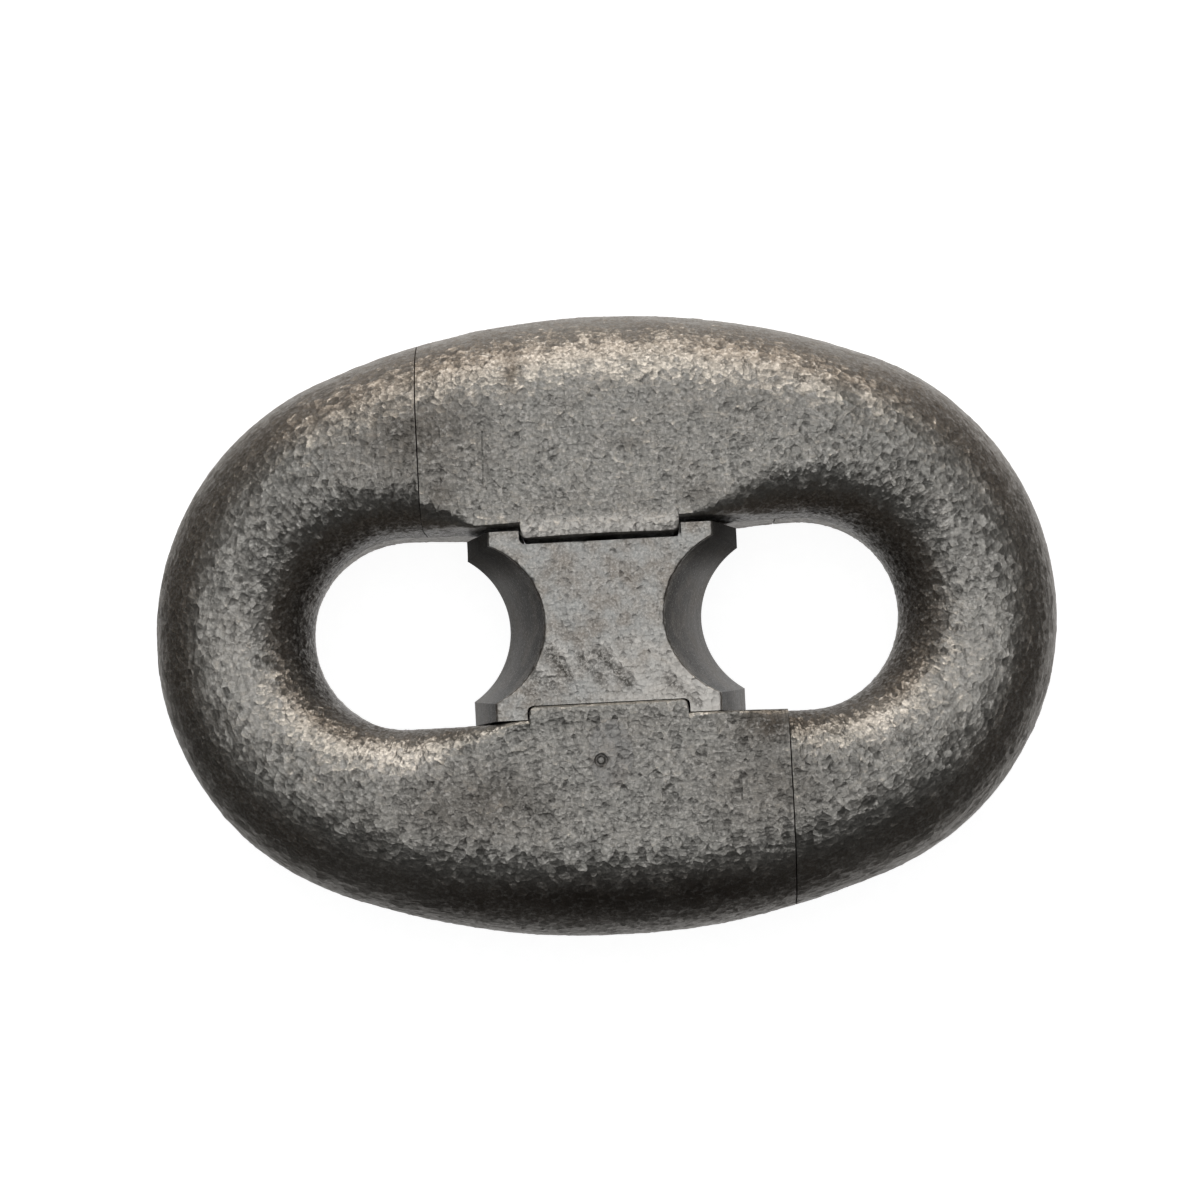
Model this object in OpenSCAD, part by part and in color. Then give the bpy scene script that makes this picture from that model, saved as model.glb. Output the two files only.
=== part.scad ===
// Chain joining shackle: two interlocking half links, the stud that locks them, its taper pin and soft plug
// Lies flat on its back faces, with its length along X, its width along Y and its depth along Z

/* [Link] */
// Overall length over the two crowns
link_length = 228; // [222:1:234]
// Overall width over the two legs
link_width = 157; // [152:1:164]
// Radius of the outline round each crown
crown_radius = 70; // [66:1:73]
// Depth of the round bar at each crown
crown_depth = 41; // [36:1:46]
// Depth over the flat faces of the legs
leg_depth = 58; // [54:1:64]

/* [Openings] */
// Radius of the round end of each opening
opening_radius = 24; // [23:0.5:25]
// Distance from the middle of the link to the centre of each opening
opening_offset = 49.5; // [48:0.5:51]

/* [Rounding] */
// Width of the rounding along the outside of the legs
leg_outer_round = 23; // [18:1:27]
// Width of the rounding where a leg runs into an opening
leg_inner_round = 13.5; // [9:0.5:15]
// Depth of that rounding
leg_inner_fall = 15; // [10:1:20]
// Half length of the square seat that each leg gives the stud
seat_half = 19; // [17:0.5:24]
// Width of the rounding at the tip of the left half's front lap
left_tip_round = 2.5; // [1.5:0.5:6]
// Width of the rounding at the tip of the right half's front lap
right_tip_round = 8.5; // [4:0.5:10]
// Distance from the middle of the link to where the rounding of the tips starts
tip_start = 29; // [27:1:34]
// Rounding along the edges of the stud seat
seat_edge = 1; // [0.5:0.1:1.5]
// Height of the trimmed land round the middle of the bar
trim_land = 2; // [1:0.5:4]

/* [Lap joint] */
// Distance from the middle of the link to each seam
seam_offset = 44; // [41:0.5:46]
// Space left between the two halves
seam_gap = 0.3; // [0.2:0.05:0.5]
// Width of the dovetail key at its neck
key_width = 29; // [24:1:32]
// Flare of the key on each side
key_flare = 2; // [1:0.25:3]
// Height of the key below its lap
key_height = 10.5; // [8:0.5:12]
// Length of the key across the leg
key_length = 39; // [34:1:40]
// Space left round the key
key_gap = 0.25; // [0.2:0.05:0.5]

/* [Stud] */
// Width over the horns at the middle of the depth
stud_width = 68.5; // [64:0.5:71]
// Width over the horns at the two faces
stud_face_width = 55.5; // [52:0.5:60]
// Width of the waist at the middle of the depth
stud_waist = 48.5; // [46:0.5:51]
// Width of the waist at the two faces
stud_face_waist = 29.5; // [27:0.5:34]
// Depth between the two faces
stud_depth = 55; // [52:0.5:56]
// Radius of the hollow on each side
hollow_radius = 21.5; // [21:0.25:22]
// Width of the tongue on each leg that guides the stud
tongue_width = 39; // [36:0.5:41]
// Height of that tongue
tongue_height = 3.4; // [2.5:0.1:4]
// Corner radius of that tongue
tongue_corner = 1.5; // [0.5:0.25:2]
// Space beside the tongue
tongue_gap = 0.5; // [0.3:0.1:0.8]
// Space between the stud and the lower leg
foot_gap = 0.2; // [0.15:0.05:0.4]
// Space between the stud and the upper leg
head_gap = 1.2; // [0.4:0.1:1.6]

/* [Taper pin] */
// Angle between the pin and the depth of the link
pin_angle = 50; // [47:0.5:53]
// Diameter at the large end
pin_large_d = 10; // [9:0.25:11]
// Diameter at the small end
pin_small_d = 7; // [6:0.25:8]
// How far the small end lies below the back face, along the pin
pin_inset = 5.5; // [5.5:0.25:8]
// Space left round the pin
pin_gap = 0.1; // [0.05:0.05:0.2]

/* [Soft plug] */
// Diameter at the mouth
plug_mouth_d = 10.6; // [10:0.1:11]
// Diameter at the bottom, wider so that the plug stays in
plug_bottom_d = 12.4; // [12:0.1:14]
// Length along the pin
plug_length = 9; // [7:0.5:10]
// Radius of the punch mark in the plug
punch_radius = 1.6; // [1:0.1:2.2]
// Depth of that mark
punch_depth = 0.7; // [0.3:0.1:0.9]
// Place of that mark beside the middle of the plug
punch_x = -2.5; // [-3:0.5:3]

/* [Choice] */
// Piece to show

/* [Hidden] */
$fn = 48;
crown_steps = 28;
leg_steps = 18;
round_steps = 8;
half_width = link_width / 2;
crown_t = crown_depth / 2;
leg_t = leg_depth / 2;
reach = link_length;
// The outline is four tangent arcs: one round each crown and one along each leg
crown_x = link_length / 2 - crown_radius;
leg_radius = (crown_x ^ 2 + half_width ^ 2 - crown_radius ^ 2) / (2 * (half_width - crown_radius));
leg_centre = half_width - leg_radius;
tangent_x = crown_x + crown_radius * crown_x / (leg_radius - crown_radius);
// The legs leave the stud the same height as the openings
seat_y = opening_radius;
tongue_y = seat_y - tongue_height;
key_end = tongue_y + key_length;
// Along the pin, the middle of the link is zero and the front face of the lower leg is face_reach
face_reach = leg_t / cos(pin_angle);
pin_head = face_reach - plug_length;
pin_tail = face_reach - pin_inset;
stud_t = stud_depth / 2;
hollow_tilt = atan((stud_waist - stud_face_waist) / stud_depth);

function mix(a, b, s) = a + (b - a) * s;
function ease(s) = let (k = max(0, min(1, s))) k * k * (3 - 2 * k);

// Height of the outline over the leg at x
function leg_outline(x) = leg_centre + sqrt(leg_radius ^ 2 - x ^ 2);

// Distance from the centre of an opening to the crown arc and to the leg arc, in the direction a
function to_crown(a) =
    let (o = opening_offset - crown_x)
    sqrt(crown_radius ^ 2 - (o * sin(a)) ^ 2) - o * cos(a);
function to_leg(a) =
    let (b = opening_offset * cos(a) - leg_centre * abs(sin(a)))
    sqrt(b ^ 2 - opening_offset ^ 2 - leg_centre ^ 2 + leg_radius ^ 2) - b;
function to_outline(a) =
    opening_offset + to_crown(a) * cos(a) >= tangent_x ? to_crown(a) : to_leg(a);

// A station holds its point on the inner wall, its direction outward, the width of the bar there,
// how far it has gone from crown to leg and how far from the square seat to the rounded opening
function crown_station(side, a) =
    let (u = [side * cos(a), sin(a)])
    [[side * opening_offset, 0] + opening_radius * u, u, to_outline(a) - opening_radius, sin(a) ^ 2, 1];
// On the legs of the right half the laps have their tips on the left: the upper leg's front lap has a
// rounding of its own there, and the lower leg's back lap runs flush into the other half's crown
function root_open(x) = ease((x - seat_half) / (opening_offset - seat_half));
function leg_open(side, x, tip) =
    let (
        front = (tip - seat_edge) / (leg_inner_round - seat_edge),
        most = side > 0 ? front : root_open(seam_offset)
    )
    x > 0 ? root_open(x) : most * ease((-x - tip_start) / (seam_offset - tip_start));
function leg_station(side, x, tip) =
    [[x, side * seat_y], [0, side], leg_outline(x) - seat_y, 1, leg_open(side, x, tip)];

crown_angles = [for (k = [0 : crown_steps]) -90 + 180 * k / crown_steps];
leg_places = [for (k = [1 : leg_steps - 1]) opening_offset * (1 - 2 * k / leg_steps)];
function stations(tip) = concat(
    [for (a = crown_angles) crown_station(1, a)],
    [for (x = leg_places) leg_station(1, x, tip)],
    [for (a = crown_angles) crown_station(-1, -a)],
    [for (x = leg_places) leg_station(-1, -x, tip)]
);

// The bar's section at a station, as pairs of distance from the inner wall and height
function bar_section(w, leg, open) =
    let (
        t = mix(crown_t, leg_t, leg),
        full = (w - trim_land) / 2,
        outer = mix(full, leg_outer_round, leg),
        inner = mix(seat_edge, mix(full, leg_inner_round, leg), open),
        rise = t - trim_land / 2,
        fall = mix(seat_edge, mix(rise, leg_inner_fall, leg), open),
        up = [for (k = [0 : round_steps]) 90 * k / round_steps],
        outer_half = [for (a = up) [w - outer * (1 - cos(a)), trim_land / 2 + rise * sin(a)]],
        inner_half = [for (a = up) [inner * (1 - sin(a)), t - fall * (1 - cos(a))]],
        front = concat(outer_half, inner_half),
        last = len(front) - 1
    )
    concat(front, [for (k = [last : -1 : 0]) [front[k][0], -front[k][1]]]);

// The whole ring before it is parted: the section carried round all the stations
module ring(tip) {
    line = stations(tip);
    sections = [for (s = line) bar_section(s[2], s[3], s[4])];
    n = len(line);
    m = len(sections[0]);
    points = [
        for (i = [0 : n - 1], p = sections[i])
            [line[i][0][0] + line[i][1][0] * p[0], line[i][0][1] + line[i][1][1] * p[0], p[1]]
    ];
    faces = [
        for (i = [0 : n - 1], j = [0 : m - 1])
            let (a = i * m, b = (i + 1) % n * m, k = (j + 1) % m)
            each [[a + j, a + k, b + k], [a + j, b + k, b + j]]
    ];
    polyhedron(points, faces);
}

// The space of the right half: its crown, its front lap on the upper leg and its back lap on the lower leg
module right_zone() {
    g = seam_gap / 2;
    translate([seam_offset + g, -reach, -reach])
        cube([reach, 2 * reach, 2 * reach]);
    for (turn = [0, 180])
        rotate([turn, 0, 0])
            translate([-seam_offset + g, 0, g])
                cube([2 * seam_offset + 1, reach, reach]);
}

// Tongue of the front lap on the upper leg
module tongue() {
    g = seam_gap / 2;
    w = tongue_width / 2;
    translate([0, tongue_y, g])
        linear_extrude(leg_t - g) {
            translate([-w, tongue_corner])
                square([tongue_width, tongue_height + 3]);
            translate([-w + tongue_corner, 0])
                square([tongue_width - 2 * tongue_corner, tongue_height]);
            for (side = [-1, 1])
                translate([side * (w - tongue_corner), tongue_corner])
                    circle(tongue_corner);
        }
}

// Dovetail along Y under the upper leg's front lap, grown by gap and longer at the start by lead
module dovetail(gap, lead, top) {
    neck = key_width / 2 + gap;
    foot = neck + key_flare;
    translate([0, key_end + gap, 0])
        rotate([90, 0, 0])
            linear_extrude(key_length + gap + lead)
                polygon([[-neck, top], [-neck, 0], [-foot, -key_height - gap],
                    [foot, -key_height - gap], [neck, 0], [neck, top]]);
}

// The right half: its laps carry a tongue each, a key above and the slot for the other half's key below
module half_body(tip) {
    difference() {
        union() {
            intersection() {
                ring(tip);
                right_zone();
            }
            for (turn = [0, 180])
                rotate([turn, 0, 0])
                    tongue();
            dovetail(0, 0, 3);
        }
        rotate([0, 0, 180])
            dovetail(key_gap, 4, 3);
    }
}

// Lines the taper pin up: its large end points to the front of the lower leg
module on_pin() {
    rotate([pin_angle, 0, 0])
        children();
}

// Bore for the pin, running out through the back of the upper leg
module pin_bore() {
    on_pin() {
        translate([0, 0, -pin_tail])
            cylinder(pin_head + pin_tail, d1 = pin_small_d + 2 * pin_gap, d2 = pin_large_d + 2 * pin_gap);
        translate([0, 0, -2 * face_reach])
            cylinder(2 * face_reach - pin_tail + 0.1, d = pin_small_d + 2 * pin_gap);
    }
}

// Cone of the plug, narrower at the mouth, carried on past the face
module plug_cone(gap) {
    narrowing = (plug_bottom_d - plug_mouth_d) / plug_length;
    run = plug_length + plug_bottom_d;
    on_pin()
        translate([0, 0, pin_head - gap])
            cylinder(run, d1 = plug_bottom_d + 2 * gap, d2 = plug_bottom_d + 2 * gap - narrowing * run);
}

// Sets the middle of the link half its depth above the ground
module on_ground() {
    translate([0, 0, leg_t])
        children();
}

module half_link_left() {
    color("#6b655c")
        on_ground()
            difference() {
                rotate([0, 0, 180])
                    half_body(left_tip_round);
                pin_bore();
                plug_cone(pin_gap);
            }
}

module half_link_right() {
    color("#6b655c")
        on_ground()
            half_body(right_tip_round);
}

module stud() {
    foot = -(seat_y - foot_gap);
    head = seat_y - head_gap;
    w = tongue_width / 2 + tongue_gap;
    // Six sides in X and Z: widest at the middle of the depth, drafted to both faces
    sides = [
        for (s = [1, -1], k = [-1, 0, 1])
            [s * (k == 0 ? stud_width : stud_face_width) / 2, s * k * stud_t]
    ];
    color("#85827c")
        on_ground()
            difference() {
                translate([0, head, 0])
                    rotate([90, 0, 0])
                        linear_extrude(head - foot)
                            polygon(sides);
                for (side = [0, 180], face = [0, 180])
                    rotate([face, 0, side])
                        translate([stud_waist / 2, 0, 0])
                            rotate([0, -hollow_tilt, 0])
                                translate([hollow_radius, 0, 0])
                                    cylinder(3 * stud_depth, r = hollow_radius, center = true);
                translate([-w, head - tongue_height, -stud_depth])
                    cube([2 * w, 2 * tongue_height, 2 * stud_depth]);
                translate([-w, foot - tongue_height, -stud_depth])
                    cube([2 * w, 2 * tongue_height, 2 * stud_depth]);
                pin_bore();
            }
}

module taper_pin() {
    color("#8d8d8f")
        on_ground()
            on_pin()
                translate([0, 0, -pin_tail])
                    cylinder(pin_head + pin_tail - pin_gap, d1 = pin_small_d, d2 = pin_large_d);
}

module lead_plug() {
    color("#77787a")
        on_ground()
            difference() {
                plug_cone(0);
                translate([-reach, -reach, leg_t])
                    cube([2 * reach, 2 * reach, reach]);
                translate([punch_x, -face_reach * sin(pin_angle), leg_t + punch_radius - punch_depth])
                    sphere(punch_radius);
            }
}

half_link_left();
half_link_right();
stud();
taper_pin();
lead_plug();
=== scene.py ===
"""Forged chain joining shackle: two hammered half links, a waisted stud, a taper pin and its plug."""

import math

import bpy
import numpy as np
from bpy.props import FloatProperty, FloatVectorProperty, IntProperty, PointerProperty
from mathutils import Matrix, Vector


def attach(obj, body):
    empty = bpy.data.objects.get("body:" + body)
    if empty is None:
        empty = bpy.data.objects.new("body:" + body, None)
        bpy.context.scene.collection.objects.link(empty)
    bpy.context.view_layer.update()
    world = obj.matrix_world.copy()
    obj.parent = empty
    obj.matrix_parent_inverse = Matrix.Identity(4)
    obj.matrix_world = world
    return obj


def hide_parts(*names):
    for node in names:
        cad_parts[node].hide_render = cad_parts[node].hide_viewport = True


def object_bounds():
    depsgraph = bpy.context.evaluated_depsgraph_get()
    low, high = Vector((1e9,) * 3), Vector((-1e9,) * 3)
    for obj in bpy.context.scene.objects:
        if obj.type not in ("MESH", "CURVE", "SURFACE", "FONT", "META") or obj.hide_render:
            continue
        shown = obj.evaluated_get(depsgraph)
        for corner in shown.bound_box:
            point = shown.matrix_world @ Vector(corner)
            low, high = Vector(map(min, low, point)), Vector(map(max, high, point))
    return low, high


bl_info = {
    "name": "Chain Joining Shackle",
    "version": (1, 0, 0),
    "blender": (4, 5, 0),
    "location": "View3D > Sidebar > Shackle",
    "description": "Builds a forged chain joining shackle from its half links, stud, taper pin and plug",
    "category": "Object",
}

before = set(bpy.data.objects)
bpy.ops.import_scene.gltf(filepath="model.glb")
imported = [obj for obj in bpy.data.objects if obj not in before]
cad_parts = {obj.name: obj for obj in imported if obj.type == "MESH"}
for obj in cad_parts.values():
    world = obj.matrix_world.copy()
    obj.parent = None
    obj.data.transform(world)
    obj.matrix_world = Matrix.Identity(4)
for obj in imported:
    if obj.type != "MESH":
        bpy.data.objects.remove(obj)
CAD_LOW, CAD_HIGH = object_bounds()
CAD_SIZE = CAD_HIGH - CAD_LOW
BODY = "root"
MM = 0.001
PHOTO_PIXELS = 1200
SCALE_PITCH = 1.9 * MM
STUD_SCALE_PITCH = 1.5 * MM
METALLIC = 0.9
WHITE = (1, 1, 1)
KEY_LEAD = 4 * MM
PLUG_GAP = 0.02 * MM
FLOOR_HALF = 3
FLOOR_POINTS = 13
GROUND_START = 0.35

# Large odd numbers that stir the noise
STIR = np.array([374761393, 668265263, 2246822519, 3266489917], np.uint32)

# Lights by name: place from the middle of the shackle, width and height in metres, and tint
LIGHTS = {
    "key": ((0.0, 0.85, 0.3), (0.8, 0.62), (1.0, 0.94, 0.86)),
    "top": ((0.0, 0.17, 0.95), (0.95, 0.9), (0.97, 0.99, 1.0)),
    "fill": ((0.0, 0.35, 0.95), (2.4, 2.2), (0.97, 0.99, 1.0)),
}

# Scribed lines across the legs' front: X, Y at both ends in millimetres, and lean
SCRIBES = ((-27.9, 33.6, 47.8, math.radians(-1.5)), (31.5, -46.0, -39.0, 0.0))

# Brown stains on the front of the legs, and in the last row painted shade along the lower leg's outer rim:
# X, Y, half width and half height in millimetres, and strength
STAINS_AND_SHADE = (
    (38.0, -27.5, 17.0, 10.0, 0.95),
    (-20.0, 62.0, 4.5, 12.0, 0.8),
    (-39.0, 33.0, 8.0, 10.0, 0.6),
    (25.0, 30.0, 9.0, 5.0, 0.5),
    (8.0, 43.0, 7.0, 3.0, 0.5),
    (-44.0, 48.0, 30.0, 24.0, 0.65),
    (-34.0, -44.0, 32.0, 16.0, 0.65),
    (38.0, -43.0, 26.0, 18.0, 0.5),
    (40.0, 52.0, 26.0, 12.0, 0.2),
    (0.0, -68.0, 85.0, 9.0, 0.8),
)

# Places made pale on the front: painted highlights on the lower inner rounding of each opening and on the
# upper rim in the first, second and last rows, a bright scratch and a pale patch: X, Y, half width and half
# height in millimetres, and strength
RUBS_AND_HIGHLIGHTS = (
    (-53.0, -31.0, 19.0, 9.0, 0.9),
    (67.0, -27.0, 10.0, 9.0, 0.7),
    (76.0, 37.0, 7.0, 2.0, 0.8),
    (84.0, 23.0, 5.0, 8.0, 0.5),
    (-8.0, 66.0, 30.0, 5.0, 0.2),
)

# Gouges and a scrape on the stud's face, with a painted highlight along the upper side of each and painted
# shade along the lower side of each gouge: X and Y of both ends, depth and half width in millimetres
STUD_GOUGES = (
    (-1.9, -7.2, 5.8, -15.8, 0.2, 1.4),
    (-6.0, -8.6, -0.6, -14.7, 0.17, 1.3),
    (-13.3, -6.6, -8.8, -13.3, 0.2, 1.7),
    (-18.5, -11.6, -12.9, -15.6, 0.16, 1.4),
    (14.9, -14.6, 22.7, -21.7, 0.15, 1.0),
)
STUD_SCRAPES = (
    (4.1, -5.4, 15.2, -10.6, 0.2, 0.9),
)


# Sizes and colours


def length(name, description, default):
    """A length in metres, shown in the scene's units."""
    return FloatProperty(name=name, description=description, default=default, unit="LENGTH", precision=5)


def colour(name, description, default):
    """A linear colour with no alpha."""
    return FloatVectorProperty(
        name=name, description=description, default=default, subtype="COLOR", min=0, max=1
    )


def amount(name, description, default, **more):
    """A share, a strength or a power."""
    return FloatProperty(name=name, description=description, default=default, **more)


def degrees(name, description, default):
    """An angle, given in degrees and kept in radians."""
    return FloatProperty(name=name, description=description, default=math.radians(default), subtype="ANGLE")


def whole(name, description, default, **more):
    """A whole number."""
    return IntProperty(name=name, description=description, default=default, **more)


class LinkSizes(bpy.types.PropertyGroup):
    """Sizes of the forged ring and of the laps that part it."""

    full_length: length("Length", "Overall length over the crowns", CAD_SIZE.x)
    full_width: length("Width", "Overall width over the legs", CAD_SIZE.y)
    leg_depth: length("Leg depth", "Depth over the flat faces of the legs", CAD_SIZE.z)
    crown_radius: length("Crown radius", "Radius of the outline round each crown", 70 * MM)
    crown_depth: length("Crown depth", "Depth of the round bar at each crown", 41 * MM)
    opening_radius: length("Opening radius", "Radius of the round end of each opening", 24 * MM)
    opening_offset: length("Opening offset", "Middle of the link to the centre of an opening", 49.5 * MM)
    outer_round: length("Outer rounding", "Width of the rounding along the outside of the legs", 23 * MM)
    inner_round: length("Inner rounding", "Width of the rounding where a leg meets an opening", 13.5 * MM)
    inner_fall: length("Inner fall", "Depth of that rounding", 15 * MM)
    seat_half: length("Seat half length", "Half length of the square seat for the stud", 19 * MM)
    seat_edge: length("Seat edge", "Rounding along the edges of the seat", 1 * MM)
    left_tip_round: length("Left tip rounding", "Rounding at the left half's front tip", 2.5 * MM)
    right_tip_round: length("Right tip rounding", "Rounding at the right half's front tip", 8.5 * MM)
    tip_start: length("Tip start", "Middle of the link to where the tips' rounding starts", 29 * MM)
    trim_land: length("Trim land", "Height of the land round the middle of the bar", 2 * MM)
    seam_offset: length("Seam offset", "Middle of the link to each seam", 44 * MM)
    seam_gap: length("Seam gap", "Space between the two halves", 0.3 * MM)
    tongue_width: length("Tongue width", "Width of the tongue that guides the stud", 39 * MM)
    tongue_height: length("Tongue height", "Height of that tongue", 3.4 * MM)
    tongue_corner: length("Tongue corner", "Corner radius of that tongue", 1.5 * MM)
    key_width: length("Key width", "Width of the dovetail key at its neck", 29 * MM)
    key_flare: length("Key flare", "Flare of the key on each side", 2 * MM)
    key_height: length("Key height", "Height of the key below its lap", 10.5 * MM)
    key_length: length("Key length", "Length of the key across the leg", 39 * MM)
    key_gap: length("Key gap", "Space left round the key", 0.25 * MM)


class StudSizes(bpy.types.PropertyGroup):
    """Sizes of the stud between the legs."""

    width: length("Width", "Width over the horns at the middle of the depth", 68.5 * MM)
    face_width: length("Face width", "Width over the horns at the faces", 55.5 * MM)
    waist: length("Waist", "Width of the waist at the middle of the depth", 48.5 * MM)
    face_waist: length("Face waist", "Width of the waist at the faces", 29.5 * MM)
    depth: length("Depth", "Depth between the faces", 55 * MM)
    hollow_radius: length("Hollow radius", "Radius of the hollow on each side", 21.5 * MM)
    edge: length("Edge", "Rounding along the edges of the faces", 0.7 * MM)
    slot_gap: length("Slot gap", "Space beside the tongue", 0.5 * MM)
    foot_gap: length("Foot gap", "Space to the lower leg", 0.2 * MM)
    head_gap: length("Head gap", "Space to the upper leg", 1.2 * MM)


class PinSizes(bpy.types.PropertyGroup):
    """Sizes of the taper pin and of the plug over its head."""

    angle: degrees("Angle", "Angle between the pin and the depth", 50)
    large_d: length("Large end", "Diameter at the large end", 10 * MM)
    small_d: length("Small end", "Diameter at the small end", 7 * MM)
    inset: length("Inset", "How far the small end lies below the back face", 5.5 * MM)
    gap: length("Gap", "Space left round the pin", 0.1 * MM)
    plug_mouth_d: length("Plug mouth", "Diameter of the plug at its mouth", 10.6 * MM)
    plug_bottom_d: length("Plug bottom", "Diameter of the plug at its bottom", 12.4 * MM)
    plug_length: length("Plug length", "Length of the plug along the pin", 9 * MM)
    punch_ring: length("Punch ring", "Radius of the ring punched into the plug", 1.2 * MM)
    punch_x: length("Punch place", "Place of the punched ring beside the middle", -2.5 * MM)


class Finish(bpy.types.PropertyGroup):
    """Sizes of the hammered skin and the colours of the metals."""

    flake_pitch: length("Flake pitch", "Spacing of the hammered flakes across the bar", 2.0 * MM)
    flake_depth: length("Flake depth", "Depth of the hammered flakes", 0.2 * MM)
    flake_draw: amount("Flake draw", "How far flakes are drawn out along the bar", 1.1)
    swell_pitch: length("Swell pitch", "Spacing of the long swells of the forging", 24 * MM)
    swell_depth: length("Swell depth", "Depth of those swells", 0.6 * MM)
    around: whole("Rings", "Sections round each crown", 250, min=60)
    across: whole("Across", "Points in each section", 232, min=60)
    flat_grey: colour("Flat grey", "Bare grey of the flat faces", (0.238, 0.23, 0.213))
    scale_brown: colour("Scale brown", "Brown scale of the rounded bar", (0.185, 0.16, 0.135))
    # Also the colour of the painted shade along the lower leg's outer rim
    stain_and_shade_brown: colour("Stain brown", "Rust and old grease on the legs", (0.06, 0.047, 0.036))
    # Painted shade on the inner sides of the bar, inside the openings
    side_shade_dark: colour("Side dark", "Dark scale on the inner sides of the bar", (0.035, 0.03, 0.024))
    pit_dark: colour("Pit dark", "Dirt in the pits", (0.035, 0.03, 0.026))
    # Pale of rubbed ridges and specks, and also the colour of the painted highlights, the painted sheen and
    # the painted reflection of the floor
    pale_and_highlight: colour("Ridge pale", "Rubbed ridges between the flakes", (0.46, 0.435, 0.405))
    stud_grey: colour("Stud grey", "Blasted faces of the stud", (0.265, 0.262, 0.252))
    stud_dark: colour("Stud dark", "Hollows of the stud near its faces", (0.045, 0.041, 0.036))
    stud_pale: colour("Stud pale", "Hollows of the stud at the middle of its depth", (0.23, 0.22, 0.21))
    pin_grey: colour("Pin grey", "Turned steel of the pin", (0.5, 0.5, 0.5))
    lead_grey: colour("Lead grey", "Hammered lead of the plug", (0.24, 0.233, 0.222))


class Stage(bpy.types.PropertyGroup):
    """Floor, lights and the camera above the shackle."""

    floor_colour: colour("Floor", "Colour of the floor", (0.3, 0.3, 0.3))
    floor_glow: amount("Floor glow", "Light that the floor gives off", 0.92, min=0)
    key_power: amount("Key light", "Power of the light beyond the upper leg", 7.0, unit="POWER")
    top_power: amount("Top light", "Power of the light overhead", 3.2, unit="POWER")
    fill_power: amount("Fill light", "Power of the broad dim light round it", 5.9, unit="POWER")
    sky: amount("Sky", "Strength of the light from above", 0.035, min=0)
    ground: amount("Ground", "Strength of the light from below", 1.0, min=0)
    ground_side: FloatVectorProperty(
        name="Ground side",
        description="Where the light from below is strongest",
        default=(0.15, 0.25, -0.957),
        subtype="DIRECTION",
    )
    frame_width: length("Frame width", "Width of the picture at the middle of the depth", 0.3034)
    distance: length("Distance", "Camera to the middle of the shackle", 0.95)
    lean_x: degrees("Lean right", "Camera's lean to the right", 0.8)
    lean_y: degrees("Lean down", "Camera's lean to the lower leg", 3.5)
    roll: degrees("Roll", "Turn of the shackle in the picture", 2.9)
    centre_x: whole("Centre X", "Pixel of the shackle's middle from the left", 606)
    centre_y: whole("Centre Y", "Pixel of the shackle's middle from the top", 625)


GROUPS = {
    "shackle_link": LinkSizes,
    "shackle_stud": StudSizes,
    "shackle_pin": PinSizes,
    "shackle_finish": Finish,
    "shackle_stage": Stage,
}


# Noise on points in space


def cell_random(cells, seed):
    """A repeatable number from 0 to 1 for each cell of a cubic lattice: the cell's three whole numbers
    are multiplied by large odd numbers, added and stirred with shifts, all in 32 bits."""
    c = cells.astype(np.int64).astype(np.uint32)
    h = c[..., 0] * STIR[0] + c[..., 1] * STIR[1] + c[..., 2] * STIR[2]
    h = h + np.uint32((seed * int(STIR[3])) % 2**32)
    h = (h ^ (h >> np.uint32(15))) * STIR[2]
    h = (h ^ (h >> np.uint32(13))) * STIR[3]
    h = h ^ (h >> np.uint32(16))
    return h.astype(np.float64) / 2**32


def ease(share):
    """A smooth step: three times the square less twice the cube, between 0 and 1."""
    share = np.clip(share, 0, 1)
    return share * share * (3 - 2 * share)


def ramp(values, start, run):
    """A smooth step that begins at a start and is done after a run."""
    return ease((values - start) / run)


def swell(points, pitch, seed):
    """Soft noise from -1 to 1: random values on a cubic lattice of the given pitch, joined by an eased
    weight along each axis."""
    p = points / pitch
    base = np.floor(p)
    weight = ease(p - base)
    total = np.zeros(len(points))
    for corner in np.ndindex(2, 2, 2):
        corner = np.array(corner)
        share = np.prod(np.where(corner, weight, 1 - weight), axis=1)
        total += share * cell_random(base + corner, seed)
    return 2 * total - 1


def flakes(points, pitch, seed, turns=0):
    """Distance to the nearest of one random spot per cubic cell, in pitches, and the height of a random
    slope through that spot. The first axis closes on itself after a number of turns, if given."""
    p = points / pitch
    base = np.floor(p)
    near = np.full(len(points), 9.0)
    slope = np.zeros(len(points))
    for step in np.ndindex(3, 3, 3):
        cell = base + np.array(step) - 1
        key = cell.copy()
        if turns:
            key[:, 0] %= turns
        random = np.stack([cell_random(key, seed + k) for k in range(6)], axis=1)
        away = p - cell - random[:, :3]
        d = np.linalg.norm(away, axis=1)
        closer = d < near
        slope = np.where(closer, np.sum(away * (random[:, 3:] - 0.5), axis=1), slope)
        near = np.where(closer, d, near)
    return near, slope


def along_bar(points):
    """Places on the ring as distance along it, distance from its middle line and height, and the length
    of one round. The middle line is a straight stretch on the X axis, and the distance runs along an
    oval track about it, from the left end of the lower leg to the right."""
    x, y, z = points.T
    half, radius = 45 * MM, 45 * MM
    end = np.clip(x, -half, half)
    angle = np.arctan2(y, x - end)
    lower, upper = x + half, 3 * half + math.pi * radius - x
    right = 2 * half + radius * (angle + math.pi / 2)
    left = 4 * half + radius * (math.pi + (angle - math.pi / 2) % (2 * math.pi))
    run = np.where(np.abs(x) <= half, np.where(y < 0, lower, upper), np.where(x > 0, right, left))
    return np.stack([run, np.hypot(x - end, y), z], axis=1), 4 * half + 2 * math.pi * radius


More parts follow.
